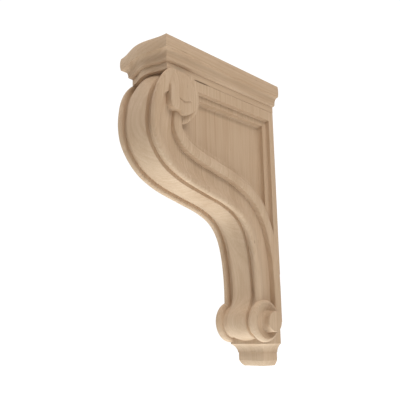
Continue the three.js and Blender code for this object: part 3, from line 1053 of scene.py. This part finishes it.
def marked_and_shaded(wood, place, cloud, colour):
    """The colour under all marks and the painted shade: each has its place and its reach in millimetres, a
    colour and a strength.
    """
    for centre, reach, stain_and_shade, strength in marks_and_shade:
        factors = [1 / (r * MM) for r in reach]
        centre = [c * MM * f for c, f in zip(centre, factors)]
        away = wood.node("ShaderNodeVectorMath", {"operation": "DISTANCE"},
                         {0: wood.stretch(place, factors), 1: centre}, 1)
        uneven = away + (cloud - 0.5) * mark_unevenness
        shown = wood.node("ShaderNodeMapRange", {}, {0: uneven, 1: 1.0, 2: 0.4, 3: 0.0, 4: strength})
        colour = wood.mix(shown, colour, stain_and_shade)
    return colour


print("marks:", len(marks_and_shade))

# %% The wood of one board
cloud_weight, stave_weight, layer_weight, fibre_weight = 0.9, 0.35, 0.65, 0.7
late_weight = 0.22
fleck_from, fleck_full, fleck_strength = 0.785, 0.82, 0.7
wood_roughness, fibre_roughness = 0.60, 0.16
raised_grain = 0.2


def bare_maple(name, along, stave_width, tilt):
    """Raw maple whose grain runs up the bracket or outward from the wall."""
    wood = Finish(name)
    place = wood.node("ShaderNodeTexCoord", output=PLACE_ON_OBJECT)
    layers, late, chance = growth_layers(wood, place, along, stave_width * MM, tilt)
    fibre = stretched_noise(wood, place, along, fine=700.0, coarse=16.0, detail=3.0, roughness=0.65)
    cloud = stretched_noise(wood, place, along, fine=26.0, coarse=4.0, detail=3.0)
    specks = stretched_noise(wood, place, along, fine=330.0, coarse=40.0, detail=1.0)
    flecks = wood.node("ShaderNodeMapRange", {},
                       {0: specks, 1: fleck_from, 2: fleck_full, 3: 0.0, 4: fleck_strength})
    shade = 0.5 + (cloud - 0.5) * cloud_weight + (chance - 0.5) * stave_weight
    shade = shade + (layers - 0.5) * layer_weight + (fibre - 0.5) * fibre_weight
    colour = wood.mix(shade, LIGHT_WOOD, DARK_WOOD)
    colour = wood.mix(late * layers * late_weight, colour, LATE_WOOD)
    colour = wood.mix(flecks, colour, FLECK)
    wood.put(wood.shader.inputs["Base Color"], marked_and_shaded(wood, place, cloud, colour))
    wood.put(wood.shader.inputs["Roughness"], wood_roughness + fibre * fibre_roughness)
    bump = wood.node("ShaderNodeBump", {}, {"Strength": 0.3, "Distance": raised_grain * MM,
                                            "Height": fibre + late * 0.4})
    wood.put(wood.shader.inputs["Normal"], bump)
    wood.shader.inputs["Specular IOR Level"].default_value = 0.3
    print(name, "nodes:", len(wood.tree.nodes))
    return wood.material

# %% Give each piece its wood
body_stave, body_tilt = 50.8, 0.42
cap_stave, cap_tilt = 120.0, 0.12
body_finish = bare_maple("body_maple", UP, body_stave, body_tilt)
cap_finish = bare_maple("cap_maple", OUTWARD, cap_stave, cap_tilt)
for piece, finish in [(carved_body, body_finish), (cap_board, cap_finish)]:
    piece.data.materials.clear()
    piece.data.materials.append(finish)
    print(piece.name, "is made of", finish.name)

# %% [markdown]
# ## Studio
# The bracket hangs in a bright, even studio. The surround is white, and a white floor lies far below it. The
# light is very soft, so each lamp is a square more than twice as wide as the bracket is high.

# %% Floor
floor_side, floor_level = 40.0, -1.1
paper_glow = 0.34
dull = 0.9


def plain(name, grey):
    """An even, dull finish."""
    finish = Finish(name)
    finish.shader.inputs["Base Color"].default_value = (grey, grey, grey, 1.0)
    finish.shader.inputs["Roughness"].default_value = dull
    return finish


def stage_piece(name, corners, faces, finish):
    """A part of the studio."""
    mesh = bpy.data.meshes.new(name)
    mesh.from_pydata(corners, [], faces)
    mesh.materials.append(finish.material)
    piece = bpy.data.objects.new(name, mesh)
    bpy.context.scene.collection.objects.link(piece)
    return piece


paper = plain("white_paper", 0.93)
paper.shader.inputs["Emission Color"].default_value = (1.0, 1.0, 1.0, 1.0)
paper.shader.inputs["Emission Strength"].default_value = paper_glow
edge = floor_side / 2
stage_piece("studio_floor", [(-edge, -edge, floor_level), (edge, -edge, floor_level),
                             (edge, edge, floor_level), (-edge, edge, floor_level)], [(0, 1, 2, 3)], paper)
print("floor at", floor_level, "m")

# %% [markdown]
# With white on every side, the hollows would be as bright as the beads. A ring of grey cards, which the
# camera doesn't see, takes away some of the light that comes in level, and the grooves get their depth back.

# %% Grey cards
card_radius, card_top, card_count = 2.6, 1.5, 24
card_posts = [(card_radius * math.cos(a), card_radius * math.sin(a))
              for a in np.linspace(0, 2 * math.pi, card_count, endpoint=False)]
card_corners = [(x, y, z) for z in (floor_level + 0.01, card_top) for x, y in card_posts]
card_faces = [(k, (k + 1) % card_count, card_count + (k + 1) % card_count, card_count + k)
              for k in range(card_count)]
grey_cards = stage_piece("grey_cards", card_corners, card_faces, plain("grey_card", 0.35))
grey_cards.visible_camera = False
print("cards:", card_count)

# %% [markdown]
# Two soft lamps hang high, one at the front left and one at the right, and give the front and the side nearly
# the same light. The undersides are the brightest parts of the photograph, so a third lamp shines up from
# below. It is a little blue, because light that wood throws on wood is warm.

# %% Surround and lamps
def soft_lamp(name, place, target, side, watts, tint):
    """A square lamp that faces a place and can't be seen itself."""
    lamp = bpy.data.lights.new(name, "AREA")
    lamp.color = tint
    lamp.shape = "SQUARE"
    lamp.size = side
    lamp.energy = watts
    stand = bpy.data.objects.new(name, lamp)
    stand.location = place
    stand.rotation_euler = (Vector(target) - Vector(place)).to_track_quat("-Z", "Y").to_euler()
    stand.visible_camera = False
    bpy.context.scene.collection.objects.link(stand)
    print(name, watts, "W")


surround_strength = 1.06
surround = bpy.data.worlds.new("white_surround")
surround.use_nodes = True
surround.node_tree.nodes["Background"].inputs["Color"].default_value = (1.0, 1.0, 1.0, 1.0)
surround.node_tree.nodes["Background"].inputs["Strength"].default_value = surround_strength
bpy.context.scene.world = surround
bpy.context.scene.view_settings.view_transform = "Standard"
middle, below = (0.0, -0.13, 0.0), (0.0, -0.08, 0.0)
soft_lamp("high_left_lamp", (-1.3, -1.4, 1.7), middle, side=1.0, watts=15.0, tint=(1.0, 0.98, 0.95))
soft_lamp("high_right_lamp", (1.7, -0.3, 1.4), middle, side=1.2, watts=17.0, tint=(1.0, 0.98, 0.96))
soft_lamp("underlight", (0.0, -0.08, -1.05), below, side=1.2, watts=11.0, tint=(0.78, 0.92, 1.0))
